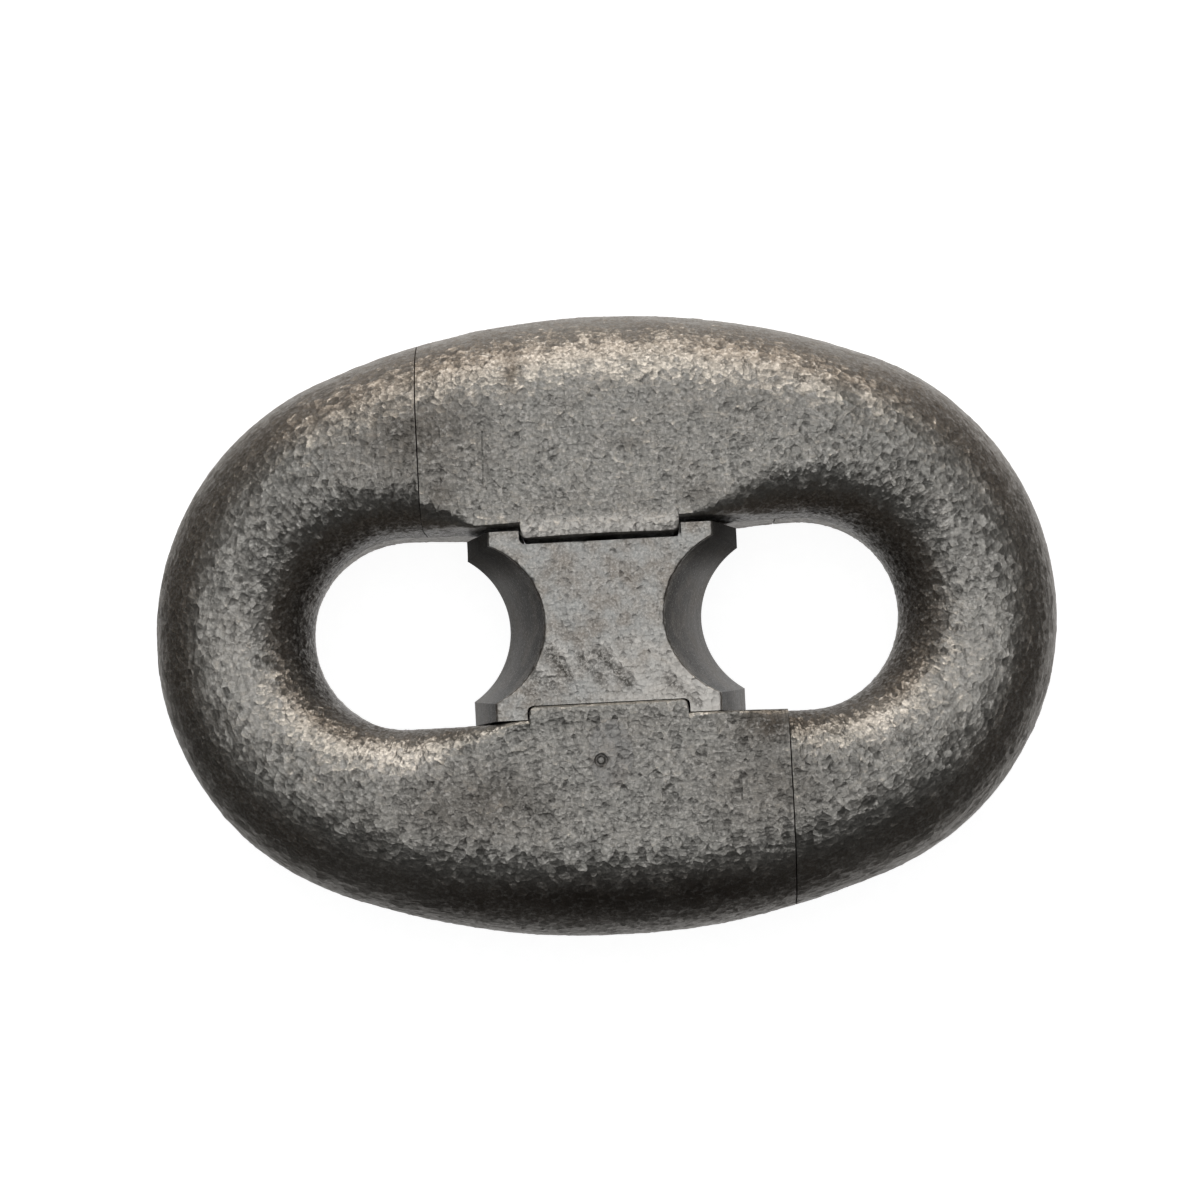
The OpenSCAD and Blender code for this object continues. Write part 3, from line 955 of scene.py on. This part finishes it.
def stud_steel(finish):
    """Blasted faces with a fine scaly grain, a painted sheen towards the lower right and painted highlight
    and shade beside the gouges, and darker, smoother hollows drawn with fine lines, with painted shade
    towards the upper leg.
    """
    m = Nodes("stud_steel")
    mottle = m.noise(7 * MM, 4)
    speck = m.noise(0.6 * MM, 4, 0.7)
    wall = m.number("wall")
    face = m.tint(finish.stud_grey, finish.scale_brown, mottle, (0.35, 0.65, 0, 0.8))
    face = m.tint(face, finish.pale_and_highlight, speck, (0.4, 0.75, 0, 0.5))
    place = m.add("SeparateXYZ", {"Vector": m.place()}).outputs
    # Painted sheen: the face turns pale towards the lower right
    painted_sheen = m.maths("SUBTRACT", place["X"], place["Y"])
    face = m.tint(face, finish.pale_and_highlight, painted_sheen, (4 * MM, 42 * MM, 0, 0.75))
    # Painted highlight along the upper side of each gouge and of the scrape
    face = m.tint(face, finish.pale_and_highlight, speck, (0.3, 0.6, 0.3, 0.9), m.number("scrape"))
    # Painted shade in and below each gouge
    face = m.tint(face, finish.stud_dark, speck, (0.42, 0.66, 0.95, 0.35), m.number("gouge"))
    scales = m.stirred(m.place(), 2 * MM, 1.0 * MM)
    ridges = m.ridges(scales, STUD_SCALE_PITCH)
    face = m.tint(face, finish.pale_and_highlight, speck, (0.4, 0.62, 0.05, 0.5), ridges)
    sweep = m.add("Mapping", {"Vector": m.place(), "Scale": (0.05, 0.05, 1)}).outputs["Vector"]
    lines = m.noise(0.7 * MM, 3, 0.55, sweep)
    side = m.tint(finish.stud_dark, finish.stud_pale, m.number("middle"), (0.15, 0.95))
    side = m.tint(side, finish.stud_dark, lines, (0.45, 0.7, 0, 0.35))
    side = m.tint(side, finish.scale_brown, mottle, (0.4, 0.7, 0, 0.5))
    side = m.tint(side, finish.pale_and_highlight, speck, (0.56, 0.7, 0, 0.5))
    # Painted shade: the hollows darken towards the upper leg, whose shadow falls on the upper horns
    upper = m.span(place["Y"], 10 * MM, 19 * MM, 0, 0.65)
    side = m.blend(upper, side, finish.stud_dark)
    base = m.blend(wall, face, side)
    dull = m.maths("MULTIPLY", upper, wall)
    rough = m.maths("MULTIPLY_ADD", dull, 0.5, m.span(speck, 0.3, 0.7, 0.44, 0.3))
    bare = m.maths("SUBTRACT", 1.0, wall)
    normal = m.relief(
        (m.maths("MULTIPLY", bare, m.chips(scales, STUD_SCALE_PITCH)), 0.294),
        (m.maths("MULTIPLY", wall, lines), 0.036),
        (m.noise(0.45 * MM, 5, 0.6), 0.055),
    )
    return m.shade(
        Base_Color=base, Metallic=METALLIC, Roughness=rough, Normal=normal, Specular_Tint=(0.7, 0.7, 0.7)
    )


def pin_steel(finish):
    """Turned steel with a fine grain."""
    m = Nodes("pin_steel")
    mark = m.noise(2.5 * MM, 4)
    base = m.tint(finish.pin_grey, finish.flat_grey, mark, (0.4, 0.7, 0, 0.5))
    rough = m.span(mark, 0.3, 0.7, 0.34, 0.5)
    normal = m.relief((m.noise(0.4 * MM, 3), 0.025))
    return m.shade(Base_Color=base, Metallic=METALLIC, Roughness=rough, Normal=normal)


def soft_lead(finish):
    """Hammered lead, dull and grey, toned to the leg round it."""
    m = Nodes("soft_lead")
    mottle = m.noise(5 * MM, 4)
    speck = m.noise(0.9 * MM, 4, 0.65)
    base = m.tint(finish.lead_grey, finish.scale_brown, mottle, (0.35, 0.7, 0, 0.4))
    base = m.tint(base, finish.pale_and_highlight, speck, (0.42, 0.75, 0, 0.3))
    base = m.blend(m.number("punch"), base, finish.pit_dark)
    rough = m.span(speck, 0.3, 0.75, 0.52, 0.35)
    normal = hammered_normal(m, hammer_scales(m))
    return m.shade(Base_Color=base, Metallic=0.88, Roughness=rough, Normal=normal)


def floor_paper(stage):
    """Pale seamless floor with a faint tooth and a little light of its own."""
    m = Nodes("floor_paper")
    tooth = m.noise(3 * MM, 2)
    base = m.tint(stage.floor_colour, WHITE, tooth, (0.3, 0.7, 0, 0.06))
    return m.shade(
        Base_Color=base, Roughness=0.9, Specular_IOR_Level=0.0,
        Emission_Color=WHITE, Emission_Strength=stage.floor_glow,
    )


# Operators


class SHACKLE_OT_half_links(bpy.types.Operator):
    """Forge the ring, part it along its laps and lock it with its keys, tongues and plug"""

    bl_idname = "shackle.half_links"
    bl_label = "Half Links and Plug"

    def execute(self, context):
        scene = context.scene
        link, pin, finish = scene.shackle_link, scene.shackle_pin, scene.shackle_finish
        steel = forged_steel(finish)
        for node, left in (("half_link_right", False), ("half_link_left", True)):
            ring = forged_ring(link, finish, left)
            half = copy_of(ring, node + "_forging")
            if left:
                self.plug(ring, link, pin, finish)
            else:
                remove(ring)
            for tool in left_zone(link):
                carve(half, turned(tool) if left else tool)
            key, slot = dovetail(link, 0, 0), dovetail(link, link.key_gap, KEY_LEAD)
            carve(half, turned(key) if left else key, "UNION")
            carve(half, slot if left else turned(slot))
            if left:
                carve(half, pin_bore(link, pin))
                carve(half, plug_cone(link, pin, PLUG_GAP))
            for place in SCRIBES:
                if (place[1] < 0) == left:
                    carve(half, scribe(link, place))
            wear_marks(half, link, finish)
            finish_piece(half, node, steel)
        return {"FINISHED"}

    def plug(self, ring, link, pin, finish):
        """The plug, taken out of the left half's ring so that its face is hammered with the leg."""
        ring.name = ring.data.name = "plug_lead"
        carve(ring, plug_cone(link, pin, 0), "INTERSECT")
        carve(ring, self.punch(link, pin))
        wear_marks(ring, link, finish)
        co = points_of(ring)
        radius = np.hypot(co[:, 0] - pin.punch_x, co[:, 1] + pin_places(link, pin)[2] * math.sin(pin.angle))
        groove = 0.6 * (1 - ease(np.abs(radius - pin.punch_ring) / (0.6 * pin.punch_ring)))
        mark_points(ring, "punch", np.where(co[:, 2] > link.leg_depth - 2 * MM, groove, 0))
        finish_piece(ring, "lead_plug", soft_lead(finish))

    @staticmethod
    def punch(link, pin):
        """A ring punched into the plug's face: a small circle carried round a larger one."""
        _, _, face = pin_places(link, pin)
        thick = 0.42 * pin.punch_ring
        a = np.linspace(0, 2 * math.pi, 48, endpoint=False)[:, None]
        b = np.linspace(0, 2 * math.pi, 24, endpoint=False)[None, :]
        out = pin.punch_ring + thick * np.cos(b)
        ring = np.stack([out * np.cos(a), out * np.sin(a), thick * np.sin(b) + 0 * a], axis=-1)
        ring += [pin.punch_x, -face * math.sin(pin.angle), link.leg_depth - 0.55 * MM]
        tool = new_piece("punch", ring, grid_faces(48, 24, True, True))
        face_outward(tool)
        return tool


class SHACKLE_OT_stud(bpy.types.Operator):
    """Make the waisted stud and slot it over the tongues"""

    bl_idname = "shackle.stud"
    bl_label = "Stud"

    def execute(self, context):
        scene = context.scene
        link, sizes = scene.shackle_link, scene.shackle_stud
        pin, finish = scene.shackle_pin, scene.shackle_finish
        stud = self.body(link, sizes)
        foot, head = self.ends(link, sizes)
        half = link.tongue_width / 2 + sizes.slot_gap
        far = link.leg_depth
        for floor, mouth in ((head - link.tongue_height, far), (foot + link.tongue_height, -far)):
            carve(stud, self.slot(half, floor, mouth, link.tongue_corner, far))
        carve(stud, pin_bore(link, pin))
        co = points_of(stud)
        off = np.abs(co[:, 2] - link.leg_depth / 2)
        mark_points(stud, "wall", ease((sizes.depth / 2 - 0.4 * MM - off) / (0.8 * MM)))
        mark_points(stud, "middle", 1 - off / (sizes.depth / 2))
        # Pale marks shifted up and right of the gouges and scrape are painted highlights; dark marks
        # shifted down and left of the gouges are painted shade
        marks = {"scrape": (STUD_GOUGES + STUD_SCRAPES, 0.9 * MM), "gouge": (STUD_GOUGES, -0.5 * MM)}
        for name, (rows, shift) in marks.items():
            share = scratched(co - [shift, shift, 0], rows) / (-0.2 * MM)
            mark_points(stud, name, np.where(co[:, 2] > link.leg_depth / 2, np.clip(share, 0, 1), 0))
        finish_piece(stud, "stud", stud_steel(finish))
        return {"FINISHED"}

    @staticmethod
    def ends(link, sizes):
        """Y of the stud's foot and head, each a gap away from its leg."""
        return sizes.foot_gap - link.opening_radius, link.opening_radius - sizes.head_gap

    @staticmethod
    def slot(half, floor, mouth, corner, far):
        """Cutter for a slot: an outline in X and Y, rounded at the corners of its floor, carried along
        Z."""
        a = np.linspace(0, math.pi / 2, 7)
        x = half - corner * (1 - np.sin(a))
        y = floor + math.copysign(corner, mouth - floor) * (1 - np.cos(a))
        right = np.stack([np.append(x, half), np.append(y, mouth)], axis=1)
        outline = np.concatenate([right, right[::-1] * [-1, 1]])
        ends = [np.insert(outline, 2, z, axis=1) for z in (-far, 2 * far)]
        return closed_grid("slot", np.stack(ends))

    def body(self, link, sizes):
        """The stud before it is slotted: a six-sided section in X and Z carried along Y. Its half width
        is the waist plus the rise of a leaning round hollow, up to the drafted flats of the horns, and
        the rows of the grid meet at the crease between them."""
        t = sizes.depth / 2
        lean = math.atan((sizes.waist - sizes.face_waist) / sizes.depth)
        long, short = sizes.hollow_radius / math.cos(lean), sizes.hollow_radius
        foot, head = self.ends(link, sizes)

        def waist(z):
            return (sizes.waist + (sizes.face_waist - sizes.waist) * np.abs(z) / t) / 2

        def horn(z):
            return (sizes.width + (sizes.face_width - sizes.width) * np.abs(z) / t) / 2

        def crease(z):
            return short * np.sqrt(1 - (1 - (horn(z) - waist(z)) / long) ** 2)

        def half_width(y, z):
            hollow = waist(z) + long * (1 - np.sqrt(np.clip(1 - (y / short) ** 2, 0, 1)))
            return np.where(np.abs(y) < crease(z), np.minimum(hollow, horn(z)), horn(z))

        lower, middle, upper = np.linspace(-2, -1, 12), np.linspace(-1, 1, 120), np.linspace(1, 2, 12)
        v = np.concatenate([lower, middle[1:], upper[1:]])[:, None]

        def height(z):
            k = crease(z)
            above, below = k + (head - k) * (v - 1), -k + (foot + k) * (-v - 1)
            return np.where(v > 1, above, np.where(v < -1, below, v * k))

        face_y = height(t)
        corner = half_width(face_y, t)
        drop_x = half_width(face_y, 0.5 * t) - corner
        reach = np.hypot(drop_x, 0.5 * t)
        step_x, step_z = drop_x / reach, -0.5 * t / reach
        across = np.linspace(0, 1, 60)[None, :]
        level = t + 0 * (across + v)
        face = np.stack([across * (corner - sizes.edge), face_y + 0 * across, level], axis=-1)
        k = np.linspace(0, 1, 7)[None, 1:]
        fillet = np.stack([
            corner - (1 - k) ** 2 * sizes.edge + k**2 * sizes.edge * step_x,
            face_y + 0 * k,
            t + k**2 * sizes.edge * step_z,
        ], axis=-1)
        down = np.linspace(0, 1, 56)[None, 1:]
        wall_z = (t + sizes.edge * step_z) * (1 - down)
        wall_y = height(wall_z)
        wall = np.stack([half_width(wall_y, wall_z), wall_y, wall_z], axis=-1)
        quarter = np.concatenate([face, fillet, wall], axis=1)
        back = quarter * [1, 1, -1]
        loop = np.concatenate([
            quarter,
            back[:, -2::-1],
            back[:, 1:] * [-1, 1, 1],
            quarter[:, -2:0:-1] * [-1, 1, 1],
        ], axis=1)
        normal = grid_normals(loop, False, True)
        normal *= np.sign(np.sum(normal[0] * loop[0] * [1, 0, 1]))
        normal[..., 1] = 0
        loop = loop + normal * self.skin(loop, t)[..., None] + [0, 0, link.leg_depth / 2]
        return closed_grid("stud_block", loop)

    @staticmethod
    def skin(loop, t):
        """Depth of the blasted skin below the stud's true form: leaning flakes on the faces, soft swells
        all over, and the gouges and scrapes on the front face."""
        flat = loop.reshape(-1, 3)
        push = 0.6 * MM * np.stack([swell(flat, 2.2 * MM, 65 + k) for k in range(3)], axis=1)
        near, slope = flakes(flat + push, 1.9 * MM, 61)
        on_face = ramp(np.abs(flat[:, 2]) - t, -1.2 * MM, 0.9 * MM)
        flake = np.clip(near, 0, 1) ** 2 - 1 + 1.2 * slope
        sink = on_face * 0.11 * MM * flake + 0.1 * MM * (swell(flat, 7 * MM, 63) - 1)
        marks = scratched(flat + 0.6 * push, STUD_GOUGES + STUD_SCRAPES)
        sink += np.where(flat[:, 2] > 0, on_face * marks, 0)
        return sink.reshape(loop.shape[:2])


class SHACKLE_OT_taper_pin(bpy.types.Operator):
    """Turn the taper pin and drive it through the stud"""

    bl_idname = "shackle.taper_pin"
    bl_label = "Taper Pin"

    def execute(self, context):
        scene = context.scene
        link, pin = scene.shackle_link, scene.shackle_pin
        head, tail, _ = pin_places(link, pin)
        bevel = 0.5 * MM
        small, large = pin.small_d / 2, pin.large_d / 2
        taper = np.linspace(-tail + 2 * bevel, head - bevel, 40)
        places = np.concatenate([[-tail, -tail + bevel], taper, [head - pin.gap]])
        radii = np.interp(places, [-tail, head], [small, large])
        radii[0] -= bevel
        radii[-1] -= bevel
        piece = on_pin(round_tool("pin_turned", radii, places, 128), link, pin)
        finish_piece(piece, "taper_pin", pin_steel(scene.shackle_finish), math.radians(30))
        return {"FINISHED"}


class SHACKLE_OT_stage(bpy.types.Operator):
    """Lay the floor, hang the lights and set the camera above the shackle"""

    bl_idname = "shackle.stage"
    bl_label = "Stage"

    def execute(self, context):
        scene, stage = context.scene, context.scene.shackle_stage
        middle = (CAD_LOW + CAD_HIGH) / 2
        self.floor(stage)
        for name, (place, size, tint) in LIGHTS.items():
            self.light(name + "_light", place, middle, size, getattr(stage, name + "_power"), tint)
        self.sky(scene, stage)
        scene.view_settings.view_transform = "Standard"
        self.camera(scene, stage, middle)
        return {"FINISHED"}

    @staticmethod
    def sky(scene, stage):
        """Light all round: faint from above and growing towards the lit side of the ground."""
        scene.world = scene.world or bpy.data.worlds.new("world")
        scene.world.use_nodes = True
        tree = scene.world.node_tree
        kinds = ("TexCoord", "VectorMath", "MapRange")
        place, lean, grow = (tree.nodes.new("ShaderNode" + kind) for kind in kinds)
        lean.operation = "DOT_PRODUCT"
        lean.inputs[1].default_value = stage.ground_side
        reach = {"From Min": GROUND_START, "From Max": 1.0, "To Min": stage.sky, "To Max": stage.ground}
        for socket, value in reach.items():
            grow.inputs[socket].default_value = value
        tree.links.new(place.outputs["Generated"], lean.inputs[0])
        tree.links.new(lean.outputs["Value"], grow.inputs["Value"])
        tree.links.new(grow.outputs["Result"], tree.nodes["Background"].inputs["Strength"])
        tree.nodes["Background"].inputs["Color"].default_value = (*WHITE, 1)

    @staticmethod
    def floor(stage):
        """A flat sheet under the shackle, an even grid of points."""
        line = np.linspace(-FLOOR_HALF, FLOOR_HALF, FLOOR_POINTS)
        x, y = np.meshgrid(line, line, indexing="ij")
        points = np.stack([x, y, np.full_like(x, CAD_LOW.z)], axis=-1)
        floor = new_piece("floor", points, grid_faces(FLOOR_POINTS, FLOOR_POINTS, False, False))
        floor.data.materials.append(floor_paper(stage))
        floor.visible_glossy = False

    @staticmethod
    def light(name, place, aim, size, power, tint):
        """A soft oblong light that faces the shackle."""
        data = bpy.data.lights.new(name, "AREA")
        data.shape = "RECTANGLE"
        data.size, data.size_y = size
        data.energy, data.color = power, tint
        light = bpy.data.objects.new(name, data)
        light.location = aim + Vector(place)
        light.rotation_euler = (aim - light.location).to_track_quat("-Z", "Y").to_euler()
        bpy.context.scene.collection.objects.link(light)

    @staticmethod
    def camera(scene, stage, middle):
        """A camera almost straight above, leaning to the right and to the lower leg, turned so that the
        shackle lies as it does in the picture, and aimed so that its middle falls on the given pixel."""
        data = bpy.data.cameras.new("camera")
        data.sensor_width = 36
        data.lens = data.sensor_width * stage.distance / stage.frame_width
        back = Vector((math.tan(stage.lean_x), -math.tan(stage.lean_y), 1)).normalized()
        up = Matrix.Rotation(-stage.roll, 4, back) @ Vector((0, 1, 0))
        right = up.cross(back).normalized()
        up = back.cross(right)
        pixel = stage.frame_width / PHOTO_PIXELS
        aim = middle + right * (PHOTO_PIXELS / 2 - stage.centre_x) * pixel
        aim += up * (stage.centre_y - PHOTO_PIXELS / 2) * pixel
        camera = bpy.data.objects.new("camera", data)
        turn = Matrix((right, up, back)).transposed().to_4x4()
        camera.matrix_world = Matrix.Translation(aim + back * stage.distance) @ turn
        scene.collection.objects.link(camera)
        scene.camera = camera


OPERATORS = (SHACKLE_OT_half_links, SHACKLE_OT_stud, SHACKLE_OT_taper_pin, SHACKLE_OT_stage)


class SHACKLE_PT_panel(bpy.types.Panel):
    """Sizes, colours and steps of the shackle"""

    bl_idname = "SHACKLE_PT_panel"
    bl_label = "Chain Joining Shackle"
    bl_space_type = "VIEW_3D"
    bl_region_type = "UI"
    bl_category = "Shackle"

    def draw(self, context):
        for operator in OPERATORS:
            self.layout.operator(operator.bl_idname)
        for key, group in GROUPS.items():
            box = self.layout.box()
            box.label(text=group.__name__)
            for prop in group.__annotations__:
                box.prop(getattr(context.scene, key), prop)


CLASSES = (*GROUPS.values(), *OPERATORS, SHACKLE_PT_panel)


def register():
    """Registers the classes and hangs the property groups on the scene."""
    for cls in CLASSES:
        bpy.utils.register_class(cls)
    for key, group in GROUPS.items():
        setattr(bpy.types.Scene, key, PointerProperty(type=group))


def unregister():
    """Takes the property groups and the classes away again."""
    for key in GROUPS:
        delattr(bpy.types.Scene, key)
    for cls in reversed(CLASSES):
        bpy.utils.unregister_class(cls)


def main():
    """Builds the pieces and the stage in order."""
    register()
    bpy.ops.shackle.half_links()
    bpy.ops.shackle.stud()
    bpy.ops.shackle.taper_pin()
    bpy.ops.shackle.stage()


if __name__ == "__main__":
    main()
